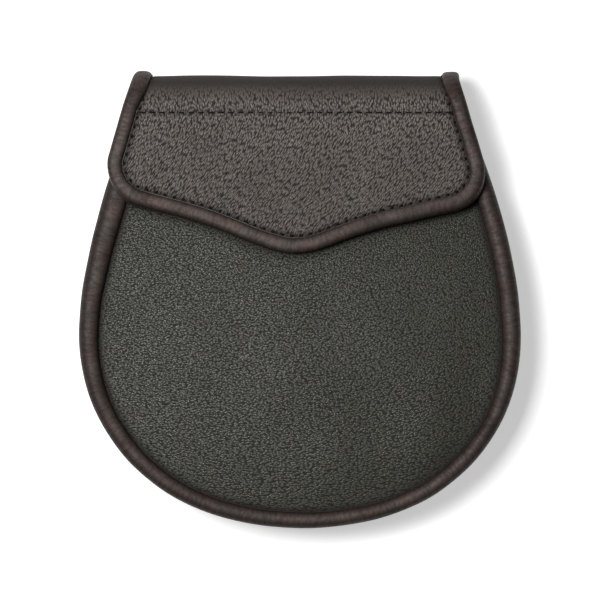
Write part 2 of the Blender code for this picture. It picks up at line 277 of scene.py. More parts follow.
def waves(x, y, length, seed, count=9):
    """A smooth unevenness, mostly between -1 and 1: the sum of count sine waves of about that
    length, each in its own direction and phase, over the square root of count."""
    draw = np.random.default_rng(seed)
    angles = draw.uniform(0, math.pi, count)
    lengths = length * draw.uniform(0.7, 1.5, count)
    phases = draw.uniform(0, 2 * math.pi, count)
    total = 0
    for angle, size, phase in zip(angles, lengths, phases):
        way = x * math.cos(angle) + y * math.sin(angle)
        total = total + np.sin(2 * math.pi * way / size + phase)
    return total / math.sqrt(count)


def varied(x, y, middle, more, length, seed):
    """A middle value, and soft waves of about that length that add or take up to that much more."""
    return middle + more * waves(x, y, length, seed)


def strayed(table, ways):
    """A table's columns at these ways, with its corners evened out over a centimetre."""
    table = np.array(table) * MM
    fine = np.arange(-10 * MM, table[-1, 0] + 10 * MM, 1 * MM)
    for column in table.T[1:]:
        values = np.convolve(np.interp(fine, table[:, 0], column), np.full(11, 1 / 11), "same")
        yield np.interp(np.clip(ways, 0, table[-1, 0]), fine, values)


def half_width(level):
    """Half the width of the pouch above its widest level."""
    rise = np.maximum(level - WIDEST_LEVEL, 0) / (MOUTH_LEVEL - WIDEST_LEVEL)
    return mixed(POUCH_WIDTH, MOUTH_WIDTH, rise**SHOULDER_CURVE) / 2


def pouch_outline(top_level):
    """Outer edge of the pouch: shoulders that widen down from top_level, then a superellipse."""
    levels = np.linspace(top_level, WIDEST_LEVEL, LINE_STEPS)
    shoulder = stacked(half_width(levels), levels)
    turn = np.linspace(0, math.pi / 2, LINE_STEPS)[1:]
    power = 2 / BOTTOM_FULLNESS
    x = POUCH_WIDTH / 2 * np.clip(np.cos(turn), 0, 1) ** power
    level = WIDEST_LEVEL * (1 - np.sin(turn) ** power)
    return mirrored(np.concatenate([shoulder, stacked(x, level)]))


def front_roll_radius(level):
    """The front binding is slimmer under the pouch than at its sides."""
    return mixed(FRONT_ROLL_BOTTOM_RADIUS, FRONT_ROLL_RADIUS, smooth(level / WIDEST_LEVEL))


def rim_height(level):
    """Height of the front binding's centre: level at the bottom, sinking towards the mouth."""
    return RIM_HEIGHT - MOUTH_DROP * smooth(1 - (MOUTH_LEVEL - level) / MOUTH_DROP_LENGTH)


def dome(x, level):
    """1 in the middle of a panel and 0 at its rim: 1 less the reach to a power, where the reach
    grows on a superellipse below the widest level and with the width above it."""
    below = np.maximum(WIDEST_LEVEL - level, 0) / (WIDEST_LEVEL - 2 * front_roll_radius(0) - GAP)
    side = np.abs(x) / (half_width(level) - 2 * front_roll_radius(level) - GAP)
    reach = (side**BOTTOM_FULLNESS + below**BOTTOM_FULLNESS) ** (1 / BOTTOM_FULLNESS)
    return np.maximum(1 - reach**CROWN_FULLNESS, 0)


def front_height(x, level):
    """Height of the middle of the front panel's leather."""
    rise = (level - WIDEST_LEVEL) / (MOUTH_LEVEL - WIDEST_LEVEL)
    crown = mixed(CROWN, MOUTH_CROWN, smooth(rise))
    return rim_height(level) - PANEL_DROP + crown * dome(x, level)


def back_height(x, level):
    """Height of the middle of the back panel's leather, which sags below the strap loop."""
    low, high = BACK_SAG_FADE
    return BACK_PANEL_HEIGHT - BACK_SAG * dome(x, level) * smooth((high - level) / (high - low))


def flap_crown(level):
    """How far the flap's middle stands over its sides: its tip rests on the front panel."""
    tip = TIP_LEVEL + FLAP_ROLL_RADIUS
    seat = front_height(0, tip) + LEATHER / 2 + GAP + FLAP_ROLL_RADIUS
    share = smooth((FOLD_CENTRE - level) / (FOLD_CENTRE - tip))
    return (seat - rim_height(tip) - FLAP_RISE) * share


def flap_height(x, level):
    """Height of the middle of the flap's leather in front of the fold."""
    side = x / (FLAP_WIDTH / 2 - FLAP_ROLL_RADIUS)
    return rim_height(level) + FLAP_RISE + flap_crown(level) * np.maximum(1 - side**2, 0)


def flap_place(x, run):
    """Points of the flap's leather: level on the back, half a turn round the fold, then the front,
    which sits a little to one side of the pouch's middle."""
    turn = np.clip((run - LEG_LENGTH) / FOLD_RADIUS, 0, math.pi)
    past = np.maximum(run - FRONT_RUN, 0)
    level = LEG_END + np.minimum(run, LEG_LENGTH) + FOLD_RADIUS * np.sin(turn) - past
    rise = LEG_HEIGHT + FOLD_RADIUS * (1 - np.cos(turn))
    height = np.where(past > 0, flap_height(x, level), rise)
    shifted = x + FLAP_SHIFT * smooth(run / (LEG_LENGTH + FOLD_LENGTH / 2))
    return in_place(shifted, level, height)


def flap_normal(x, run):
    """Outward direction of the flap's leather, from the slopes along both of its coordinates."""
    down = flap_place(x, run + STEP) - flap_place(x, run - STEP)
    across = flap_place(x + STEP, run) - flap_place(x - STEP, run)
    return unit(np.cross(down, across))


def side_slope():
    """Angle by which the flap's sides spread, tangent to its rounded corners."""
    across = FLAP_TOP_WIDTH / 2 - (FLAP_WIDTH / 2 - CORNER_RADIUS)
    reach = math.hypot(across, CORNER_DROP)
    return math.asin(CORNER_RADIUS / reach) - math.atan2(across, CORNER_DROP)


def flap_fold_edge(inset):
    """Right-hand edge of the flap, moved in by inset, over its back leg and its fold, as (x, run)."""
    slope = side_slope()
    turn = np.linspace(0, math.pi, LINE_STEPS)
    fold_drop = FOLD_RADIUS * (1 - np.sin(turn))
    seen_drop = fold_drop * (FOLD_LEVEL - FOLD_CENTRE) / FOLD_RADIUS
    front_x = FLAP_TOP_WIDTH / 2 + math.tan(slope) * seen_drop - inset / math.cos(slope)
    top_x = FLAP_TOP_WIDTH / 2 - inset / math.cos(slope)
    roll_x = moved_in(pouch_outline(BACK_ROLL_TOP), BACK_ROLL_RADIUS)[0][0]
    end_x = roll_x - (inset - FLAP_ROLL_RADIUS)
    back_x = mixed(top_x, end_x, fold_drop / (FOLD_RADIUS + LEG_LENGTH))
    fold_x = np.where(turn < math.pi / 2, back_x, front_x)
    return np.concatenate([[(end_x, 0)], stacked(fold_x, LEG_LENGTH + turn * FOLD_RADIUS)])


def flap_front_edge(inset):
    """Right-hand edge of the flap in front of the fold, moved in by inset, as two (x, run) lines
    that meet in the middle of the rounded corner: the side, and the lower edge with its tip. The
    lower edge is a cubic curve between the corner's arc and the tip."""
    slope = side_slope()
    centre = np.array([FLAP_WIDTH / 2 - CORNER_RADIUS, FOLD_LEVEL - CORNER_DROP])
    fold_x = FLAP_TOP_WIDTH / 2 + math.tan(slope) * (FOLD_LEVEL - FOLD_CENTRE)
    middle = (slope - (math.pi / 2 - LOWER_EDGE_SLOPE)) / 2
    angles = np.linspace(slope, LOWER_EDGE_SLOPE - math.pi / 2, LINE_STEPS)
    corner = centre + CORNER_RADIUS * stacked(np.cos(angles), np.sin(angles))
    tip = np.array([0, TIP_LEVEL])
    towards_tip = np.array([-math.cos(LOWER_EDGE_SLOPE), -math.sin(LOWER_EDGE_SLOPE)])
    share = np.linspace(0, 1, LINE_STEPS)[1:, None]
    lower = (
        (1 - share) ** 3 * corner[-1]
        + 3 * share * (1 - share) ** 2 * (corner[-1] + CORNER_HANDLE * towards_tip)
        + 3 * share**2 * (1 - share) * (tip + (TIP_HANDLE, 0))
        + share**3 * tip
    )
    edge = moved_in(np.concatenate([[(fold_x, FOLD_CENTRE)], corner, lower]), inset)
    edge[0] = (fold_x - inset / math.cos(slope), FOLD_CENTRE)
    edge[-1][0] = 0
    edge[:, 1] = FRONT_RUN + FOLD_CENTRE - edge[:, 1]
    halfway = 1 + int(np.argmin(np.abs(angles - middle)))
    return edge[: halfway + 1], edge[halfway:]


def even_flap_edge(inset):
    """The flap's whole edge as one (x, run) line, from its right end on the back to its left."""
    side, lower = flap_front_edge(inset)
    return mirrored(np.concatenate([flap_fold_edge(inset)[:-1], side[:-1], lower]))


def flap_edge(inset):
    """The same as it was sewn: it strays inwards by a table of what is seen from the front, from
    soon past the fold's top."""
    x, run = even_flap_edge(0).T
    front = run > LEG_LENGTH + FOLD_LENGTH / 2
    turn = np.clip((run - LEG_LENGTH) / FOLD_RADIUS, 0, math.pi)
    level = FOLD_CENTRE + FOLD_RADIUS * np.sin(turn) - np.maximum(run - FRONT_RUN, 0)
    stray = np.zeros(len(x))
    (stray[front],) = strayed(FLAP_EDGE_LINE, walked(stacked(x, level)[front]) + LEATHER / 2)
    return moved_in(even_flap_edge(inset), -stray * smooth((turn - math.pi / 2) / 0.6))


class Form:
    """Grids of points and the faces between them, which together make one closed mesh."""

    def __init__(self):
        self.count = 0
        self.points, self.marks = [], []
        self.faces, self.charts, self.finishes = [], [], []

    def grid(self, points, marks=(0, 0, 0)):
        """Adds a grid of points and gives their numbers. The marks say how far the grain is smoothed by
        pulling there, which also darkens its colour, part burnished tone and part painted shade, how
        much painted shade of seams, holes and creases it gets, and how much lighter it is, as wear or
        as a painted highlight."""
        self.points.append(points.reshape(-1, 3))
        self.marks.append(np.broadcast_to(marks, points.shape).reshape(-1, 3))
        numbers = self.count + np.arange(len(self.points[-1])).reshape(points.shape[:-1])
        self.count += numbers.size
        return numbers

    def skin(self, numbers, chart, finish=0):
        """Faces between a grid's neighbours: a step along its columns, one along its rows and the
        faces' front follow each other as X, Y and Z do. The chart is where each point lies on the
        hide. Where a row is one point, its faces have three corners."""
        chart = np.broadcast_to(chart, (*numbers.shape, 2))
        here, after = slice(None, -1), slice(1, None)
        corners = ((here, here), (here, after), (after, after), (after, here))
        quads = np.stack([numbers[..., row, column] for row, column in corners], axis=-1)
        charts = np.stack([chart[..., row, column, :] for row, column in corners], axis=-2)
        quads, charts = quads.reshape(-1, 4), charts.reshape(-1, 4, 2)
        from_point = quads[:, 0] == quads[:, 1]
        to_point = quads[:, 2] == quads[:, 3]
        whole = ~(from_point | to_point)
        for chosen, kept in ((whole, [0, 1, 2, 3]), (from_point, [1, 2, 3]), (to_point, [0, 1, 2])):
            self.faces.append(quads[chosen][:, kept])
            self.charts.append(charts[chosen][:, kept].reshape(-1, 2))
            self.finishes.append(np.full(int(chosen.sum()), finish))

    def made(self, name, materials):
        """The mesh as an object at the origin that rides on the pouch."""
        mesh = bpy.data.meshes.new(name)
        faces = [face for block in self.faces for face in block.tolist()]
        mesh.from_pydata(np.concatenate(self.points).tolist(), [], faces)
        for material in materials:
            mesh.materials.append(material)
        finishes = np.concatenate(self.finishes).astype(np.int32)
        mesh.polygons.foreach_set("material_index", finishes)
        mesh.polygons.foreach_set("use_smooth", np.ones(len(finishes), bool))
        hide = mesh.uv_layers.new(name="hide")
        hide.data.foreach_set("uv", np.concatenate(self.charts).astype(np.float32).ravel())
        marks = mesh.attributes.new("marks", "FLOAT_VECTOR", "POINT")
        marks.data.foreach_set("vector", np.concatenate(self.marks).astype(np.float32).ravel())
        mesh.update()
        piece = bpy.data.objects.new(name, mesh)
        bpy.context.scene.collection.objects.link(piece)
        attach(piece, "root")
        return piece


def ringed(grid, columns=1):
    """A grid that closes on itself: with its first column once more at its end."""
    return np.concatenate([grid, np.take(grid, [0], axis=columns)], axis=columns)


def border(grid):
    """The outermost points of a grid as one loop from its first corner along its first row."""
    return np.concatenate([grid[0, :-1], grid[:-1, -1], grid[-1, :0:-1], grid[:0:-1, 0]])


def border_outward(middle):
    """Directions out of a grid at each point of its border: in its surface, square to its border."""
    out = np.zeros_like(middle)
    out[0] += unit(middle[0] - middle[1])
    out[-1] += unit(middle[-1] - middle[-2])
    out[:, -1] += unit(middle[:, -1] - middle[:, -2])
    out[:, 0] += unit(middle[:, 0] - middle[:, 1])
    loop, out = border(middle), border(out)
    tangent = unit(np.roll(loop, -1, axis=0) - np.roll(loop, 1, axis=0))
    return unit(out - tangent * (out * tangent).sum(axis=-1, keepdims=True))


def add_cut_edge(form, numbers, loops, outward, chart, marks):
    """Closes a sheet between the loops of its face and its flesh side with a rounded edge: half
    circles that bulge outward by half their distance."""
    face, flesh = loops
    turns = np.linspace(0, math.pi, CUT_EDGE_ROWS + 2)[:, None]
    middle, half = (face + flesh) / 2, (face - flesh) / 2
    reach = np.linalg.norm(half, axis=-1, keepdims=True)
    inner = turns[1:-1, None]
    rows = form.grid(middle + half * np.cos(inner) + outward * reach * np.sin(inner), marks)
    ring = np.concatenate([numbers[0][None], rows, numbers[1][None]])
    arcs = turns * reach[None, :, 0] * math.sqrt(0.5)
    places = chart[None] + stacked(arcs, arcs)
    form.skin(ringed(ring)[:, ::-1], ringed(places)[:, ::-1], 2)


def sheet(name, middle, normal, thickness, chart, marks, materials, swell=0.0, relief=0.0):
    """A sheet of leather on a grid of middle points. The swell moves both sides along the normal,
    the relief its face alone. materials are those of the face, the flesh side and the cut edge."""
    form = Form()
    swell, relief = (np.broadcast_to(part, middle.shape[:2])[..., None] for part in (swell, relief))
    face = middle + normal * (thickness / 2 + swell + relief)
    flesh = middle - normal * (thickness / 2 - swell)
    upper, lower = form.grid(face, marks), form.grid(flesh, marks)
    form.skin(upper, chart)
    form.skin(lower[:, ::-1], chart[:, ::-1], 1)
    loops = (border(face), border(flesh))
    numbers = (border(upper), border(lower))
    add_cut_edge(form, numbers, loops, border_outward(middle), border(chart), border(marks))
    return form.made(name, materials)


def apart(turns, angle):
    """Turns counted from an angle, between half a turn back and half a turn on."""
    return (turns - angle + math.pi) % (2 * math.pi) - math.pi


def slot(turns, radius, angle, depth):
    """A slot along a roll: how much its radius shrinks at each turn round it."""
    away = np.abs(apart(turns, angle)) * radius
    return depth * (1 - smooth((away - SLOT_HALF_WIDTH + SLOT_SOFTNESS) / (2 * SLOT_SOFTNESS)))


def fuller(turns, power):
    """Radius of a superellipse of half width 1: a circle for power 2, squarer above it."""
    return (np.abs(np.cos(turns)) ** power + np.abs(np.sin(turns)) ** power) ** (-1 / power)


def stitch_pull(ways, turns, angle):
    """How much each hidden stitch draws a roll in beside its seam."""
    drawn = 0.5 + 0.5 * np.cos(2 * math.pi * ways / EDGE_PITCH)
    return STITCH_PULL * drawn * bell(apart(turns, angle), 0.4)


def lumpy(ways, turns, radius, share, length, seed):
    """A roll's radius over its full one: it falls short by this share and soft waves of it, which
    run along and round the roll."""
    across, up = radius * np.cos(turns), radius * np.sin(turns)
    return varied(ways + across, up, 1 - share, -share, length, seed)


def roll_ways(length, step, cap):
    """Ways along a roll: crowded towards its ends like the heights of a quarter circle."""
    start = cap * (1 - np.cos(np.linspace(0, math.pi / 2, 10)))
    between = np.linspace(cap, length - cap, int((length - 2 * cap) / step))[1:-1]
    return np.concatenate([start, between, length - start[::-1]])


def roll(name, line, up, section, marks, material, step, around, cap):
    """A rolled binding: a section carried along a line, closed with round caps. A point of it is
    the line's point + its section's way out * outward + its way up * up. The section gives both,
    and marks gives the marks, from the ways along the line and the turns round it. The turns start
    and end on its inner side, where a slot hides the hide's joint. Points lie a step apart along
    it and this many around it, and its caps are this long."""
    way = walked(line)
    ways = roll_ways(way[-1], step, cap)
    points, above = read_off(ways, way, line), unit(read_off(ways, way, up))
    tangent = unit(np.gradient(points, ways, axis=0))
    outward = unit(np.cross(above, tangent))
    above = np.cross(tangent, outward)
    turns = np.linspace(-math.pi, math.pi, around + 1)[None, :]
    out, rise = section(ways[:, None], turns)
    from_end = np.minimum(ways, way[-1] - ways)
    taper = np.sqrt(np.clip(1 - (1 - np.minimum(from_end / cap, 1)) ** 2, 0, 1))[:, None, None]
    body = outward[:, None] * out[..., None] + above[:, None] * rise[..., None]
    body = points[:, None] + taper * body
    touched = np.broadcast_to(marks(ways[:, None], turns), body.shape)
    form = Form()
    rows = form.grid(body[1:-1, :-1], touched[1:-1, :-1])
    first = form.grid(points[:1, None], touched[:1, :1])
    last = form.grid(points[-1:, None], touched[-1:, :1])
    ends = [np.broadcast_to(end, (1, around)) for end in (first, last)]
    numbers = ringed(np.concatenate([ends[0], rows, ends[1]]))
    form.skin(numbers, stacked(ways[:, None], turns * float(np.median(np.hypot(out, rise)))))
    return form.made(name, [material])


class Recipe:
    """One material, put together from shader nodes."""

    def __init__(self, name):
        self.material = bpy.data.materials.new(name)
        self.material.use_nodes = True
        self.tree = self.material.node_tree
        self.shader = self.tree.nodes["Principled BSDF"]

    def hide(self):
        """Where a point lies on the hide."""
        return self.node("UVMap", {}, uv_map="hide")

    def marks(self):
        """The three marks: smoothed by pulling with painted fold shade, painted seam shade, and wear
        with painted highlight.
        """
        marks = self.node("Attribute", {}, "Vector", attribute_name="marks")
        parts = self.tree.nodes.new("ShaderNodeSeparateXYZ")
        self.feed(parts.inputs[0], marks)
        return tuple(parts.outputs)

    def feed(self, socket, value):
        """Links a socket to another, or sets it."""
        if isinstance(value, bpy.types.NodeSocket):
            self.tree.links.new(value, socket)
        else:
            socket.default_value = value

    def node(self, kind, inputs, output=0, **settings):
        """Adds a node with its inputs and settings, and gives one of its outputs."""
        made = self.tree.nodes.new("ShaderNode" + kind)
        for setting, value in settings.items():
            setattr(made, setting, value)
        for name, value in inputs.items():
            self.feed(made.inputs[name], value)
        return made.outputs[output]

    def math(self, operation, first, second=0.0):
        """One step of arithmetic with two values."""
        return self.node("Math", {0: first, 1: second}, operation=operation)

    def product(self, first, second):
        """Two values multiplied."""
        return self.math("MULTIPLY", first, second)

    def sum(self, first, second):
        """Two values added."""
        return self.math("ADD", first, second)

    def weighed(self, *parts):
        """The sum of values, each times its weight."""
        total, *others = [self.product(value, weight) for value, weight in parts]
        for other in others:
            total = self.sum(total, other)
        return total

    def stretched(self, value, low, high, to_low=0.0, to_high=1.0):
        """A value carried smoothly from one range to another."""
        ends = {"Value": value, "From Min": low, "From Max": high, "To Min": to_low, "To Max": to_high}
        return self.node("MapRange", ends, interpolation_type="SMOOTHSTEP")

    def placed(self, vector, scale, turn=0.0):
        """A place on the hide, turned about its corner after it is scaled."""
        inputs = {"Vector": vector, "Scale": scale, "Rotation": (0, 0, turn)}
        return self.node("Mapping", inputs)

    def noise(self, vector, scale, detail=2.0, roughness=0.5):
        """A soft unevenness from 0 to 1, with this many finer layers."""
        inputs = {"Vector": vector, "Scale": scale, "Detail": detail, "Roughness": roughness}
        return self.node("TexNoise", inputs)

    def wandering(self, vector, scale, amount):
        """A place moved about by a soft noise."""
        drift = self.node("TexNoise", {"Vector": vector, "Scale": scale, "Detail": 1.0}, "Color")
        centred = self.node("VectorMath", {0: drift, 1: (0.5, 0.5, 0.5)}, operation="SUBTRACT")
        scaled = self.node("VectorMath", {0: centred, "Scale": amount}, operation="SCALE")
        return self.node("VectorMath", {0: vector, 1: scaled}, operation="ADD")

    def cells(self, vector, scale, output=0):
        """The distance to the nearest of scattered points, or that point's own random colour."""
        inputs = {"Vector": vector, "Scale": scale}
        return self.node("TexVoronoi", inputs, output, voronoi_dimensions="2D", feature="F1")

    def blend(self, share, low, high, kind="MIX"):
        """A colour between two, or one laid over another."""
        made = self.tree.nodes.new("ShaderNodeMix")
        made.data_type = "RGBA"
        made.blend_type = kind
        self.feed(made.inputs[0], share)
        for socket, colour in ((made.inputs[6], low), (made.inputs[7], high)):
            self.feed(socket, (*colour, 1) if isinstance(colour, tuple) else colour)
        return made.outputs[2]

    def clouded(self, colour, vector, scale, low, high):
        """A colour with soft patches that are lighter or darker."""
        share = self.stretched(self.noise(vector, scale, 2.0), 0.3, 0.7, low, high)
        grey = self.node("CombineColor", {0: share, 1: share, 2: share})
        return self.blend(1.0, colour, grey, "MULTIPLY")

    def mottled(self, colour, vector, scale, one, other):
        """A colour with patches of two tints."""
        share = self.stretched(self.noise(vector, scale, 3.0, 0.6), 0.35, 0.65)
        return self.blend(1.0, colour, self.blend(share, one, other), "MULTIPLY")

    def finish(self, colour, roughness, height, depth, specular=0.5, metallic=0.0):
        """Feeds the shader. The height's 0 to 1 stands for the depth in metres."""
        self.feed(self.shader.inputs["Base Color"], colour)
        self.feed(self.shader.inputs["Roughness"], roughness)
        self.shader.inputs["Specular IOR Level"].default_value = specular
        self.shader.inputs["Metallic"].default_value = metallic
        bump = self.node("Bump", {"Height": height, "Distance": depth, "Strength": 1.0})
        self.feed(self.shader.inputs["Normal"], bump)
        return self.material


def grained_leather(name, ridge, pit, cell, depth, gloss):
    """Pebbled leather. A pebble is a dome over the middle of a scattered cell, stretched along the
    hide's grain: it falls off with the distance from there, so pits lie where cells meet. Each
    has its own height, and smaller ones lie over them. Brown and grey patches lie over it all.
    The gloss is the roughness of pits and ridges, and how much is mirrored."""
    recipe = Recipe(name)
    hide = recipe.hide()
    pulled_and_shade, shaded, wear_and_highlight = recipe.marks()
    place = recipe.wandering(recipe.placed(hide, (1 / cell[0], 1 / cell[1], 1)), 0.4, 0.7)
    ragged = recipe.product(recipe.math("SUBTRACT", recipe.noise(place, 1.7), 0.5), 0.4)
    domes = recipe.stretched(recipe.sum(recipe.cells(place, 1.0), ragged), 0.12, 0.8, 1.0, 0.0)
    small = recipe.stretched(recipe.cells(place, 2.1), 0.1, 0.8, 1.0, 0.0)
    own = recipe.cells(place, 1.0, 1)
    fuzz = recipe.noise(place, 3.2, 2.0, 0.6)
    grain = recipe.weighed((domes, 0.6), (small, 0.16), (own, 0.12), (fuzz, 0.3))
    kept = recipe.math("SUBTRACT", 1.0, recipe.product(pulled_and_shade, 0.85))
    relief = recipe.product(recipe.math("SUBTRACT", grain, PLAIN_LEVEL), kept)
    level = recipe.sum(PLAIN_LEVEL, relief)
    # The pits are darker than the ridges: partly the grain's own tone, partly painted shade in the pits.
    colour = recipe.blend(recipe.stretched(level, 0.15, 1.0), pit, ridge)
    colour = recipe.mottled(colour, hide, 110.0, (0.965, 1.015, 0.99), (1.035, 0.99, 0.985))
    colour = recipe.clouded(colour, hide, 35.0, 0.92, 1.08)
    # Darker where the grain is smoothed by pulling, as over the fold: part burnished tone, part painted
    # shade.
    colour = recipe.blend(recipe.product(pulled_and_shade, 0.85), colour, (0.014, 0.011, 0.009))
    # Painted shade in seams, stitch holes and creases.
    colour = recipe.blend(recipe.product(shaded, 0.8), colour, (0.008, 0.006, 0.005))
    # Lighter with wear, at the strap loop's ends.
    colour = recipe.blend(recipe.product(wear_and_highlight, 0.35), colour, (0.16, 0.13, 0.11))
    in_pits, on_ridges, mirrored_share = gloss
    dull = recipe.stretched(level, 0.2, 0.85, in_pits, on_ridges)
    roughness = recipe.weighed((dull, 1.0), (pulled_and_shade, 0.5), (shaded, 0.4))
    return recipe.finish(colour, roughness, level, depth, mirrored_share)


def rolled_leather(name):
    """The bindings' smoother leather: fine pores, slanted creases round the roll, painted shade along
    the seams, and lighter crests, part wear and part painted highlight.
    """
    recipe = Recipe(name)
    hide = recipe.hide()
    _, shaded, wear_and_highlight = recipe.marks()
    slanted = recipe.wandering(recipe.placed(hide, (760, 300, 1), math.radians(38)), 0.4, 0.9)
    creases = recipe.stretched(recipe.noise(slanted, 1.0, 3.0, 0.6), 0.3, 0.7)
    pores = recipe.stretched(recipe.cells(hide, 1500.0), 0.1, 0.5)
    folds = recipe.noise(recipe.placed(hide, (110, 60, 1), math.radians(32)), 1.0, 2.0)
    level = recipe.weighed((creases, 0.4), (pores, 0.2), (folds, 0.4))
    raised = recipe.stretched(level, 0.2, 0.8)
    away_from_crest = recipe.blend(raised, (0.014, 0.0095, 0.008), (0.032, 0.0225, 0.019))
    # The crests' lighter colour: part wear, part painted highlight.
    wear_and_sheen = recipe.blend(raised, (0.050, 0.038, 0.034), (0.100, 0.077, 0.069))
    colour = recipe.blend(wear_and_highlight, away_from_crest, wear_and_sheen)
    colour = recipe.mottled(colour, hide, 120.0, (0.94, 1.02, 0.98), (1.12, 0.97, 0.95))
    # Painted shade along the seams.
    colour = recipe.blend(recipe.product(shaded, 0.8), colour, (0.006, 0.0045, 0.004))
    roughness = recipe.stretched(level, 0.2, 0.9, 0.62, 0.46)
    return recipe.finish(colour, roughness, level, 0.09 * MM, 0.2)


def suede(name):
    """The flesh side: a soft brown nap with short fibres."""
    recipe = Recipe(name)
    hide = recipe.hide()
    nap = recipe.noise(hide, 2600.0, 4.0, 0.7)
    fibres = recipe.noise(recipe.placed(hide, (2400, 700, 1), 0.4), 1.0, 3.0, 0.6)
    level = recipe.weighed((nap, 0.6), (fibres, 0.4))
    colour = recipe.blend(level, (0.045, 0.032, 0.024), (0.15, 0.11, 0.08))
    colour = recipe.clouded(colour, hide, 90.0, 0.8, 1.15)
    return recipe.finish(colour, 0.95, level, 0.1 * MM, 0.2)


def burnished_edge(name):
    """A cut edge burnished dark and smooth, with faint layers along it."""
    recipe = Recipe(name)
    hide = recipe.hide()
    layers = recipe.noise(recipe.placed(hide, (300, 3000, 1)), 1.0, 3.0, 0.6)
    blotches = recipe.noise(hide, 400.0, 2.0)
    level = recipe.weighed((layers, 0.7), (blotches, 0.3))
    colour = recipe.blend(level, (0.014, 0.010, 0.008), (0.055, 0.040, 0.031))
    return recipe.finish(colour, recipe.stretched(level, 0.2, 0.8, 0.6, 0.4), level, 0.06 * MM)


def waxed_thread(name):
    """Dark twisted thread: slanted strands round it, with a waxy sheen."""
    recipe = Recipe(name)
    hide = recipe.hide()
    inputs = {"Vector": recipe.placed(hide, (1, 1, 1), 0.9), "Scale": 700.0, "Distortion": 0.6}
    strands = recipe.stretched(recipe.node("TexWave", inputs, "Fac"), 0.1, 0.9)
    colour = recipe.blend(strands, (0.003, 0.0025, 0.002), (0.013, 0.010, 0.008))
    return recipe.finish(colour, 0.7, strands, 0.08 * MM, 0.2)


def satin_metal(name):
    """Browned brass of the press fastener: dull spots and light scratches."""
    recipe = Recipe(name)
    place = recipe.node("TexCoord", {}, "Object")
    spots = recipe.noise(place, 700.0, 4.0, 0.6)
    scratches = recipe.noise(recipe.placed(place, (200, 6000, 200), 0.5), 1.0, 2.0)
    level = recipe.weighed((spots, 0.6), (scratches, 0.4))
    colour = recipe.blend(recipe.stretched(level, 0.3, 0.7), (0.17, 0.14, 0.11), (0.42, 0.37, 0.31))
    roughness = recipe.stretched(level, 0.3, 0.7, 0.5, 0.28)
    return recipe.finish(colour, roughness, level, 0.03 * MM, metallic=1.0)


def body_chart(x, level):
    """Where a point of a panel lies on its hide. The grain is turned by an angle that grows to the
    right and downwards: the hide's place is the way along X of the angle's cosine and sine, plus
    the height over the widest level, turned by the angle."""
    middle, growth, more, upwards = BODY_GRAIN_TURN
    step = 0.5 * MM
    steps = np.arange(-200, 201) * step
    angle = middle + growth * steps + more * steps**2
    far, high = [np.interp(x, steps, step * np.cumsum(part(angle))) for part in (np.cos, np.sin)]
    y = level - WIDEST_LEVEL
    turn = middle + growth * x + more * x**2 + upwards * y
    return stacked(far + y * np.sin(turn), y * np.cos(turn) - high)


def flap_chart(x, run):
    """Where a point of the flap lies on its hide: the grain leans over soon below the fold, then
    slowly more, so X is moved by a line less its start's rounding, plus a square."""
    lean, start, more = FLAP_GRAIN_LEAN
    below = np.maximum(run - FRONT_RUN, 0)
    moved = lean * (below - start * (1 - np.exp(-below / start))) + more * below**2
    return stacked(x + moved, FRONT_RUN - run)


def closed_edge(line, count, softening):
    """A line and the straight way back to its start, as evenly spaced points, its corners rounded
    by a moving mean over the softening."""
    points = evenly(np.concatenate([line, line[:1]]), count + 1)[:-1]
    total = walked(np.concatenate([points, points[:1]]))[-1]
    reach = max(1, int(softening / total * count / 2))
    return sum(np.roll(points, step, axis=0) for step in range(-reach, reach + 1)) / (2 * reach + 1)


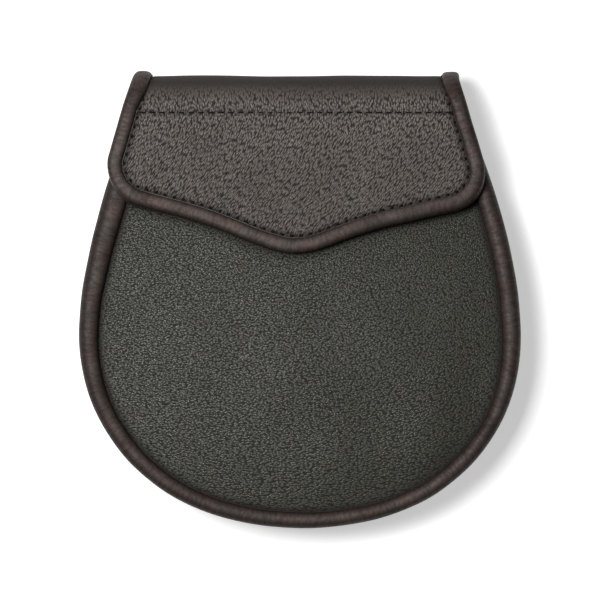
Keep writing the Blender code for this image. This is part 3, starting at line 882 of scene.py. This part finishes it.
def panel(name, edge, height, facing, calm_level, materials, seed, shadow_line=None):
    """A pear-shaped panel on rings round its middle. A ring's point is the middle plus a share of
    the way to the edge, raised to the panel's height there. Below its calm level the leather
    swells a little, with soft waves, and hidden stitches draw it in along its rim. Its colour
    has painted shade along its rim, and a painted shadow beside the shadow line, if one is given."""
    centre = np.array([0, WIDEST_LEVEL])
    edge = edge[::-1] if facing > 0 else edge
    reach = np.linalg.norm(edge - centre, axis=-1)
    way = walked(np.concatenate([edge, edge[:1]]))[:-1]

    def side(rings, is_face):
        """Points, chart and marks of one side of the leather."""
        shares = (1 - np.linspace(0, 1, rings) ** 1.2)[:, None]
        flat = centre + (edge - centre) * shares[..., None]
        x, level = flat[..., 0], flat[..., 1]
        slope_x = (height(x + STEP, level) - height(x - STEP, level)) / (2 * STEP)
        slope_y = (height(x, level + STEP) - height(x, level - STEP)) / (2 * STEP)
        normal = facing * unit(stacked(-slope_x, -slope_y, 1.0))
        rim = (1 - shares) * reach
        loose = (1 - np.exp(-rim / (4 * MM))) * smooth((calm_level - level) / (25 * MM))
        offset = varied(x, level, *PANEL_SWELL, seed) * loose
        if is_face:
            pucker = np.cos(2 * math.pi * way / EDGE_PITCH) * bell(rim - 2 * MM, 1.8 * MM)
            offset = offset + LEATHER / 2 - PUCKER_DEPTH * pucker
        else:
            offset = offset - LEATHER / 2
        points = in_place(x, level, height(x, level)) + normal * offset[..., None]
        # Painted shade along the rim, and the painted shadow of the flap's edge beside the shadow line.
        shade = bell(rim, SEAM_BAND)
        if shadow_line is not None:
            shade = np.maximum(shade, 0.9 * bell(nearest(flat, shadow_line), 3.2 * MM))
        # Near the rim the grain counts a little as smoothed by pulling, which also darkens it there.
        return points, body_chart(x, level), stacked(0.3 * bell(rim, 3 * MM), shade, 0)

    form = Form()
    face, face_chart, face_marks = side(PANEL_RINGS, True)
    flesh, flesh_chart, flesh_marks = side(FLESH_RINGS, False)
    sides = []
    for points, marks in ((face, face_marks), (flesh, flesh_marks)):
        numbers = form.grid(points[:-1], marks[:-1])
        pole = form.grid(points[-1:, :1], marks[-1:, :1])
        sides.append(np.concatenate([numbers, np.broadcast_to(pole, (1, len(edge)))]))
    form.skin(ringed(sides[0]), ringed(face_chart))
    form.skin(ringed(sides[1])[:, ::-1], ringed(flesh_chart)[:, ::-1], 1)
    tangent = np.roll(edge, -1, axis=0) - np.roll(edge, 1, axis=0)
    outward = facing * unit(stacked(tangent[:, 1], -tangent[:, 0], 0))
    loops, numbers = (face[0], flesh[0]), (sides[0][0], sides[1][0])
    add_cut_edge(form, numbers, loops, outward, face_chart[0], face_marks[0])
    return form.made(name, materials)


def front_leather(materials):
    """The front panel, with a painted shadow in a narrow band beside the edge of the flap, where the
    flap's shadow falls.
    """
    x, run = evenly(flap_edge(0)[LINE_STEPS:-LINE_STEPS], RUBBING_POINTS).T
    flap_outer = stacked(x + FLAP_SHIFT, FRONT_RUN + FOLD_CENTRE - run)
    outline = pouch_outline(MOUTH_LEVEL)
    middle, half = strayed(FRONT_ROLL_LINE, walked(outline))
    edge = closed_edge(moved_in(outline, middle + half - TUCK + LEATHER / 2), PANEL_SECTORS, 3 * MM)
    piece = panel("front_leather", edge, front_height, 1, TIP_LEVEL, materials, 11, flap_outer)
    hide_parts("front_panel")


def back_leather(materials):
    """The back panel, up to where the flap's fold starts."""
    line = moved_in(pouch_outline(FOLD_CENTRE), BACK_ROLL_RADIUS + BACK_SEAT)
    edge = closed_edge(line, PANEL_SECTORS, 3 * MM)
    piece = panel("back_leather", edge, back_height, -1, BACK_SAG_FADE[1], materials, 12)
    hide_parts("back_panel")


def gusset_leather(materials):
    """The strip between both bindings. Across it goes a squared sine, outwards under the pouch and
    inwards at its sides, with soft upright creases."""
    shares = np.linspace(0, 1, GUSSET_COLUMNS)
    outline = pouch_outline(MOUTH_LEVEL)
    stations = along(outline, shares)
    way = shares * walked(outline)[-1]
    level = stations[:, 1]
    side = smooth((level - WIDEST_LEVEL / 2) / (MOUTH_LEVEL - WIDEST_LEVEL / 2))
    fold = mixed(-GUSSET_BULGE, GUSSET_PLEAT, side)
    up = np.linspace(1, 0, GUSSET_ROWS)[:, None]
    creases = waves(way, 4 * MM * up, 11 * MM, 21)
    middle, half = strayed(FRONT_ROLL_LINE, way)
    inset = mixed(GUSSET_INSET, middle, up)
    inset = inset + (fold + GUSSET_CREASE_DEPTH * creases) * np.sin(math.pi * up) ** 2
    tangent = unit(np.gradient(stations, axis=0))
    low = 2 * BACK_ROLL_RADIUS - TUCK + GUSSET_LEATHER / 2
    high = rim_height(level) - front_roll_radius(level) + TUCK - GUSSET_LEATHER / 2
    x, y = stations[:, 0] + tangent[:, 1] * inset, level - tangent[:, 0] * inset
    middle = in_place(x, y, mixed(low, high, up))
    normal = unit(np.cross(np.gradient(middle, axis=1), np.gradient(middle, axis=0)))
    from_seam = np.minimum(up, 1 - up) * (high - low)
    # Painted shade beside both seams; the whole strip counts a little as smoothed by pulling, which
    # darkens it slightly.
    marks = stacked(0.2, np.exp(-from_seam / (0.9 * MM)), 0)
    chart = stacked(way, (high - low) * up)
    piece = sheet("gusset_leather", middle, normal, GUSSET_LEATHER, chart, marks, materials)
    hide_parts("gusset")


def front_roll(material):
    """The fat roll round the front, with slots for the front panel and the gusset."""
    outline = pouch_outline(MOUTH_LEVEL)
    middle, half = strayed(FRONT_ROLL_LINE, walked(outline))
    flat = moved_in(outline, middle)
    line = in_place(flat[:, 0], flat[:, 1], rim_height(outline[:, 1]))
    way = walked(line)
    height = front_roll_radius(outline[:, 1])
    panel_turn = math.pi + math.asin(PANEL_DROP / FRONT_ROLL_RADIUS)
    gusset_turn = -math.pi / 2
    stitch_turn = 0.86 * math.pi
    crest_turn = 0.57 * math.pi

    def section(ways, turns):
        """A squared ellipse, as wide and high as the roll is there, less its lumps, the pulls of its
        stitches and the two slots."""
        wide, high = np.interp(ways, way, half), np.interp(ways, way, height)
        reach = lumpy(ways, turns, FRONT_ROLL_RADIUS, 0.012, 23 * MM, 31) * fuller(turns, 2.2)
        reach = reach - stitch_pull(ways, turns, stitch_turn) / high
        reach = reach - slot(turns, high, panel_turn, SLOT_DEPTH) / high
        reach = reach - slot(turns, high, gusset_turn, SLOT_DEPTH) / high
        return wide * reach * np.cos(turns), high * reach * np.sin(turns)

    def marks(ways, turns):
        """Painted shade at both seams, and a lighter crest, part wear and part painted highlight,
        stronger in some places than in others.
        """
        seam = bell(apart(turns, panel_turn), 0.42) + bell(apart(turns, gusset_turn), SEAM_SHADE)
        wear_and_sheen = varied(ways, 0, 0.64, 0.2, 17 * MM, 33)
        crest = bell(turns - crest_turn, CREST_WIDTH) * wear_and_sheen
        return stacked(0, np.clip(seam, 0, 1), np.clip(crest, 0, 1))

    up = np.broadcast_to((0.0, 0.0, 1.0), line.shape)
    piece = roll("front_roll", line, up, section, marks, material, step=0.85 * MM, around=72, cap=3 * MM)
    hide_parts("front_binding")


def back_roll(material):
    """The roll round the back, with a slot for the gusset and a seat for the back panel. Its ends
    are drawn out to meet those of the flap's roll."""
    flat = moved_in(pouch_outline(BACK_ROLL_TOP), BACK_ROLL_RADIUS)
    ends = flat[[0, -1]] + BACK_ROLL_REACH * unit(flat[[0, -1]] - flat[[1, -2]])
    flat = np.concatenate([ends[:1], flat, ends[1:]])
    line = in_place(flat[:, 0], flat[:, 1], BACK_ROLL_RADIUS)
    gusset_turn = math.pi / 2
    crest_turn = -0.45 * math.pi

    def section(ways, turns):
        """A squared circle, less its lumps, the gusset's slot and the back panel's seat."""
        radius = BACK_ROLL_RADIUS * lumpy(ways, turns, BACK_ROLL_RADIUS, 0.01, 25 * MM, 41)
        reach = radius * fuller(turns, 2.12) - slot(turns, radius, gusset_turn, SLOT_DEPTH)
        reach = reach - slot(turns, radius, BACK_SEAT_TURN, BACK_SEAT_DEPTH)
        return reach * np.cos(turns), reach * np.sin(turns)

    def marks(ways, turns):
        """Painted shade at both seams, and a lighter crest on the outer side, part wear and part
        painted highlight.
        """
        seams = [bell(apart(turns, seam), SEAM_SHADE) for seam in (gusset_turn, BACK_SEAT_TURN)]
        wear_and_sheen = varied(ways, 0, 0.62, 0.2, 19 * MM, 43)
        seam, crest = sum(seams), bell(apart(turns, crest_turn), CREST_WIDTH) * wear_and_sheen
        return stacked(0, np.clip(seam, 0, 1), np.clip(crest, 0, 1))

    up = np.broadcast_to((0.0, 0.0, 1.0), line.shape)
    piece = roll("back_roll", line, up, section, marks, material, step=0.9 * MM, around=64, cap=2.6 * MM)
    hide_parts("back_binding")


def flap_roll(material):
    """The slimmer roll round the flap. Where it runs over the fold it is squarer, and a wing of it
    laps over the flap's face. At the lower corners the raw edge of its under wing peeps out."""
    edge = evenly(flap_edge(FLAP_ROLL_RADIUS), FLAP_ROLL_POINTS)
    line = flap_place(edge[:, 0], edge[:, 1])
    up = flap_normal(edge[:, 0], edge[:, 1])
    way = walked(line)
    lap = 1.25 * MM
    wing_turn = -0.14 * math.pi
    lip_turn = math.pi - SLOT_HALF_WIDTH / FLAP_ROLL_RADIUS
    stitch_turn = 0.8 * math.pi
    ridge_turn = 0.76 * math.pi

    def places(ways):
        """The x and run of the stations, and how much the under wing peeps out there."""
        x, run = np.interp(ways, way, edge[:, 0]), np.interp(ways, way, edge[:, 1])
        past_corner = run - FRONT_RUN - FOLD_CENTRE + FOLD_LEVEL - CORNER_DROP
        return x, run, bell(past_corner - 9 * MM, 6 * MM) * (np.abs(x) > 55 * MM)

    def section(ways, turns):
        """A squared circle, less its lumps, the pulls of its stitches and the flap's slot. It is
        squarer over the fold, where its wing is drawn out by the lap. A ridge beside the seam is
        added, sharper on the right, and the edge that peeps out."""
        x, run, peeping = places(ways)
        onto_fold, off_fold = (run - LEG_LENGTH) / (4 * MM), (FRONT_RUN + 1 * MM - run) / (9 * MM)
        over_fold = smooth(onto_fold) * smooth(off_fold)
        power = 2.9 + over_fold * np.where(x > 0, 0.3, -0.5)
        radius = FLAP_ROLL_RADIUS * (1 + over_fold * np.where(x > 0, -0.04, 0.06))
        radius = radius * lumpy(ways, turns, FLAP_ROLL_RADIUS, 0.018, 15 * MM, 51)
        reach = radius * fuller(turns, power) - stitch_pull(ways, turns, stitch_turn)
        reach = reach - slot(turns, radius, math.pi, SLOT_DEPTH)
        sharper = smooth((x - 15 * MM) / (20 * MM)) * (1 - over_fold)
        ridge = (0.02 + 0.3 * sharper) * MM * varied(ways, 0, 0.7, 0.4, 21 * MM, 57)
        reach = reach + ridge * bell(apart(turns, ridge_turn), 0.2)
        reach = reach + 0.5 * MM * peeping * bell(apart(turns, wing_turn) * radius, 0.4 * MM)
        shift = -lap * over_fold * (turns < lip_turn) * smooth(turns / 1.2 - 1)
        return reach * np.cos(turns) + shift, reach * np.sin(turns)

    def marks(ways, turns):
        """Painted shade at the flap's seam, and a lighter crest, part wear and part painted highlight,
        fainter over the fold. The raw edge that peeps out is pale, through the same mark."""
        x, run, peeping = places(ways)
        raw_edge = peeping * bell(apart(turns, wing_turn), 0.16)
        off_fold = 0.4 + 0.6 * smooth((run - FRONT_RUN + 6 * MM) / (18 * MM))
        crest_turn = mixed(0.53, 0.66, smooth(x / (40 * MM))) * math.pi
        crest = off_fold * bell(turns - crest_turn, 0.75) * varied(ways, 0, 0.95, 0.2, 13 * MM, 53)
        seam = np.clip(1.4 * bell(apart(turns, math.pi), 0.55), 0, 1)
        return stacked(0, seam, np.clip(crest + 1.6 * raw_edge, 0, 1))

    piece = roll("flap_roll", line, up, section, marks, material, step=0.6 * MM, around=56, cap=1.3 * MM)
    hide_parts("flap_binding")


def flap_grid():
    """The flap's middle surface as (x, run) on a grid from its right side to its left: straight rows
    over the back and the fold, then a patch between the side lines and the lower edge, whose point
    is the sum of the mixed rows and the mixed sides, less the mixed corners."""
    inset = 2 * FLAP_ROLL_RADIUS - TUCK + LEATHER / 2
    edge = flap_edge(inset)
    start, end = LINE_STEPS, LINE_STEPS + len(flap_front_edge(inset)[0]) - 1
    share = np.linspace(0, 1, FLAP_COLUMNS)
    across = share - CORNER_CROWDING * np.sin(2 * math.pi * share)
    runs = np.linspace(0, FRONT_RUN, FOLD_ROWS)[:-1, None]
    sides = [line[: start + 1] for line in (edge, edge[::-1])]
    right, left = [np.interp(runs, side[:, 1], side[:, 0]) for side in sides]
    fold_part = stacked(mixed(right, left, across), runs)

    down = np.linspace(0, 1, FLAP_ROWS)
    down = down + CORNER_CROWDING * np.sin(math.pi * down)
    right, left = [along(line[start : end + 1], down)[:, None] for line in (edge, edge[::-1])]
    top = mixed(right[0], left[0], across[:, None])
    bottom = along(edge[end : len(edge) - end], across)
    share, between = across[None, :, None], down[:, None, None]
    corners = mixed(mixed(top[0], top[-1], share), mixed(bottom[0], bottom[-1], share), between)
    front_part = mixed(top, bottom, between) + mixed(right, left, share) - corners
    return np.concatenate([fold_part, front_part])


def edge_stitches():
    """Where the flap's binding is stitched, as (x, run) points."""
    line = flap_edge(2 * FLAP_ROLL_RADIUS + EDGE_STITCH_INSET)
    return at_ways(line, np.arange(2.5 * MM, walked(line)[-1] - 2.5 * MM, EDGE_PITCH))


def row_of_stitches(run):
    """A straight row of stitches across the flap between its bindings, as (x, run) points."""
    edge = flap_edge(2 * FLAP_ROLL_RADIUS)
    sides = [line[: LINE_STEPS + 40] for line in (edge, edge[::-1])]
    right, left = [np.interp(run, side[:, 1], side[:, 0]) for side in sides]
    count = int((right - left - 3.2 * MM) / TOP_PITCH) + 1
    x = (right + left) / 2 + (np.arange(count) - (count - 1) / 2) * TOP_PITCH
    return stacked(x, run)


def stitch_ends(seam):
    """Where the threads of a row along x dive into the leather."""
    reach = (TOP_STITCH[0] / 2, 0)
    return np.concatenate([seam + reach, seam - reach])


def flap_leather(materials):
    """The flap: its face is drawn in along each seam, and more at each of its stitch holes."""
    grid = flap_grid()
    x, run = grid[..., 0], grid[..., 1]
    from_lip = nearest(grid, evenly(flap_edge(2 * FLAP_ROLL_RADIUS), FLAP_SEAM_POINTS))
    rows = [row_of_stitches(TOP_SEAM_RUN), row_of_stitches(LEG_SEAM_RUN)]
    row_holes = bell(nearest(grid, np.concatenate([stitch_ends(row) for row in rows])), HOLE_WIDTH)
    edge_holes = bell(nearest(grid, edge_stitches()), HOLE_WIDTH)
    row_groove = sum(bell(run - seam, GROOVE_WIDTH) for seam in (TOP_SEAM_RUN, LEG_SEAM_RUN))

    inside = (1 - np.exp(-from_lip / (2.2 * MM))) * smooth(run / LEG_LENGTH)
    swell = varied(x, run, *FLAP_SWELL, 61) * inside
    edge_groove = bell(from_lip - EDGE_STITCH_INSET, GROOVE_WIDTH)
    relief = -TOP_GROOVE_DEPTH * row_groove * smooth(from_lip / (2 * MM)) - TOP_HOLE_DEPTH * row_holes
    relief = relief - GROOVE_DEPTH * edge_groove - EDGE_HOLE_DEPTH * edge_holes

    turn = (run - LEG_LENGTH) / FOLD_RADIUS
    # Over the fold the grain is smoothed by pulling; the same mark darkens its colour, part burnished
    # tone and part painted shade.
    pulled_and_shade = smooth(turn / 0.3 + 0.5) * smooth((math.radians(168) - turn) / 0.7)
    # Painted shade along the seam and in the stitch holes.
    shade = 0.95 * bell(from_lip, SEAM_BAND) + 0.5 * edge_holes + 0.75 * row_holes
    marks = stacked(pulled_and_shade, np.clip(shade, 0, 1), 0)
    chart = flap_chart(x, run)
    middle, normal = flap_place(x, run), flap_normal(x, run)
    piece = sheet("flap_leather", middle, normal, LEATHER, chart, marks, materials, swell, relief)
    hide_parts("flap")


def loop_surface(x, from_top):
    """Middle of the strap loop's leather: two flanges against the back panel, and between them a
    band that stands off it to let a strap through. The ramps between them are smooth steps."""
    from_edge = np.minimum(from_top, LOOP_HEIGHT - from_top)
    level = LOOP_HIGH.y + TOTAL_HEIGHT / 2 - from_top
    seat = back_height(x, level) - LEATHER - GAP
    drop = smooth((from_edge - LOOP_FLANGE) / LOOP_RAMP)
    return in_place(x, level, mixed(seat, LEATHER / 2, drop))


def loop_stitches():
    """The rows of stitches along both flanges of the strap loop, as (x, way from its top)."""
    count = int((LOOP_HIGH.x - LOOP_LOW.x - 4 * MM) / TOP_PITCH)
    x = (np.arange(count) - (count - 1) / 2) * TOP_PITCH
    rows = (LOOP_SEAM_INSET, LOOP_HEIGHT - LOOP_SEAM_INSET)
    return np.concatenate([stacked(x, row) for row in rows])


def strap_loop_leather(materials):
    """The band on the back, drawn in along its seams and creased beside its ends."""
    x = np.linspace(LOOP_LOW.x + LEATHER / 2, LOOP_HIGH.x - LEATHER / 2, LOOP_COLUMNS)[None]
    from_top = np.linspace(LEATHER / 2, LOOP_HEIGHT - LEATHER / 2, LOOP_ROWS)[:, None]
    middle = loop_surface(x, from_top)
    normal = unit(np.cross(np.gradient(middle, axis=1), np.gradient(middle, axis=0)))
    holes = bell(nearest(stacked(x, from_top), stitch_ends(loop_stitches())), HOLE_WIDTH)
    from_side = np.minimum(from_top, LOOP_HEIGHT - from_top)
    groove = bell(from_side - LOOP_SEAM_INSET, GROOVE_WIDTH)
    from_end = np.minimum(x - LOOP_LOW.x, LOOP_HIGH.x - x)
    crease = bell(from_end - 2.2 * MM, 0.6 * MM)
    relief = -GROOVE_DEPTH * groove - LOOP_HOLE_DEPTH * holes - 0.1 * MM * crease
    # Painted shade in the stitch holes and beside the creases; lighter with wear at the ends.
    marks = stacked(0.1, 0.7 * holes + 0.2 * crease, 0.4 * bell(from_end, 1.5 * MM))
    chart = stacked(x + 0.25 * from_top, from_top)
    piece = sheet("strap_loop_leather", middle, normal, LEATHER, chart, marks, materials, 0.0, relief)
    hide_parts("strap_loop")


def stitches(name, points, seam_ways, normals, size, sink, material, seed):
    """Short threads along a seam. Each is a bar with round ends whose middle stands over the
    leather while its ends dive into it: its centre line is a half cosine, and its girth falls to
    nothing at both ends. All are one base shape, turned and moved to the points."""
    length, width = size
    share = np.linspace(-1, 1, 9)[1:-1, None]
    turns = np.linspace(0, 2 * math.pi, 9)[:-1]
    girth = width / 2 * np.sqrt(1 - np.abs(share) ** 4)
    rise = 0.42 * width * np.cos(share * math.pi / 2) - sink
    base = stacked(share * length / 2, girth * np.cos(turns), rise + 0.8 * girth * np.sin(turns))
    tips = np.array([[-length / 2, 0, -sink], [length / 2, 0, -sink]])

    draw = np.random.default_rng(seed)
    lean = draw.normal(0, math.radians(4), len(points))[:, None]
    stretch = draw.normal(1, 0.05, len(points))[:, None]
    across = np.cross(normals, seam_ways)
    forward = seam_ways * np.cos(lean) + across * np.sin(lean)
    axes = np.stack([forward * stretch, np.cross(normals, forward), normals], axis=1)
    bodies = points[:, None, None] + np.einsum("rca,nax->nrcx", base, axes)
    ends = points[:, None] + np.einsum("ta,nax->ntx", tips, axes)

    form = Form()
    body, poles = form.grid(bodies), form.grid(ends)
    caps = np.broadcast_to(poles[..., None], (*poles.shape, len(turns)))
    numbers = np.concatenate([caps[:, :1], body, caps[:, 1:]], axis=1)
    chart = stacked(np.linspace(0, length, len(share) + 2)[:, None], np.linspace(0, 3 * width, 9))
    form.skin(ringed(numbers, 2), chart)
    return form.made(name, [material])


def flap_stitches(material):
    """The stitches of the binding, of the straight seam below the fold and of the seam on the back."""
    for name, seam, size, sink, seed in (
        ("binding_stitches", edge_stitches(), EDGE_STITCH, 0.25 * MM, 71),
        ("top_stitches", row_of_stitches(TOP_SEAM_RUN), TOP_STITCH, 0.3 * MM, 72),
        ("leg_stitches", row_of_stitches(LEG_SEAM_RUN), TOP_STITCH, 0.3 * MM, 73),
    ):
        x, run = seam[:, 0], seam[:, 1]
        normal = flap_normal(x, run)
        points = flap_place(x, run) + normal * (LEATHER / 2 + 0.2 * MM)
        way = unit(np.gradient(points, axis=0))
        way = unit(way - normal * (way * normal).sum(axis=-1, keepdims=True))
        stitches(name, points, way, normal, size, sink, material, seed)


def loop_thread(material):
    """The stitches of the strap loop, on its outer face."""
    seam = loop_stitches()
    points = loop_surface(seam[:, 0], seam[:, 1]) - np.array([0, 0, LEATHER / 2 - 0.1 * MM])
    way = np.broadcast_to((1.0, 0.0, 0.0), points.shape)
    normal = np.broadcast_to((0.0, 0.0, -1.0), points.shape)
    stitches("loop_stitches", points, way, normal, TOP_STITCH, 0.3 * MM, material, 74)


def add_camera():
    """Straight above the pouch, at the photograph's scale at the height of the pouch's rim."""
    camera = bpy.data.cameras.new("photo_camera")
    camera.sensor_width = SENSOR
    camera.lens = SENSOR * (CAMERA_HEIGHT - RIM_HEIGHT) / PHOTO_WIDTH
    view = bpy.data.objects.new("photo_camera", camera)
    view.location = (0, PHOTO_MIDDLE - TOTAL_HEIGHT / 2, CAMERA_HEIGHT)
    bpy.context.scene.collection.objects.link(view)
    bpy.context.scene.camera = view


def add_soft_light(name, place, size, power):
    """A square soft box that faces the pouch."""
    light = bpy.data.lights.new(name, "AREA")
    light.size = size
    light.energy = power
    box = bpy.data.objects.new(name, light)
    box.location = place
    box.rotation_euler = (-Vector(place)).to_track_quat("-Z", "Y").to_euler()
    bpy.context.scene.collection.objects.link(box)


def add_floor():
    """A plain white table, under the pouch and far beyond the view. It glows a little, as one
    that is lit from below."""
    half = 4.0
    corners = [(-half, -half, 0), (half, -half, 0), (half, half, 0), (-half, half, 0)]
    mesh = bpy.data.meshes.new("floor")
    mesh.from_pydata(corners, [], [(0, 1, 2, 3)])
    material = bpy.data.materials.new("white_floor")
    material.use_nodes = True
    shader = material.node_tree.nodes["Principled BSDF"]
    shader.inputs["Base Color"].default_value = (0.92, 0.92, 0.92, 1)
    shader.inputs["Roughness"].default_value = 0.9
    shader.inputs["Emission Color"].default_value = (1, 1, 1, 1)
    shader.inputs["Emission Strength"].default_value = 0.5
    mesh.materials.append(material)
    floor = bpy.data.objects.new("floor", mesh)
    bpy.context.scene.collection.objects.link(floor)


def add_surroundings():
    """A faint white light from all round, and colours shown as they are."""
    scene = bpy.context.scene
    scene.world = bpy.data.worlds.new("studio")
    scene.world.use_nodes = True
    background = scene.world.node_tree.nodes["Background"]
    background.inputs["Color"].default_value = (1, 1, 1, 1)
    background.inputs["Strength"].default_value = 0.06
    scene.view_settings.view_transform = "Standard"


add_camera()
add_surroundings()
add_floor()
add_soft_light("key_light", place=(-0.42, 0.2, 1.3), size=0.45, power=17.5)

body_hide = grained_leather(
    "body_hide",
    ridge=(0.0565, 0.057, 0.040),
    pit=(0.002, 0.002, 0.0015),
    cell=(1.06 * MM, 0.68 * MM),
    depth=0.24 * MM,
    gloss=(0.8, 0.31, 0.5),
)
flap_hide = grained_leather(
    "flap_hide",
    ridge=(0.139, 0.117, 0.102),
    pit=(0.004, 0.003, 0.0025),
    cell=(0.68 * MM, 1.5 * MM),
    depth=0.27 * MM,
    gloss=(0.78, 0.34, 0.36),
)
binding_hide = rolled_leather("binding_hide")
flesh_side = suede("flesh_side")
edge_finish = burnished_edge("edge_finish")
thread = waxed_thread("thread")

front_leather([body_hide, flesh_side, edge_finish])
back_leather([body_hide, flesh_side, edge_finish])
gusset_leather([body_hide, flesh_side, edge_finish])
flap_leather([flap_hide, flesh_side, edge_finish])
strap_loop_leather([body_hide, flesh_side, edge_finish])
front_roll(binding_hide)
back_roll(binding_hide)
flap_roll(binding_hide)
flap_stitches(thread)
loop_thread(thread)

fastener = satin_metal("fastener_metal")
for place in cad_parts["snap_disc"].material_slots:
    place.material = fastener
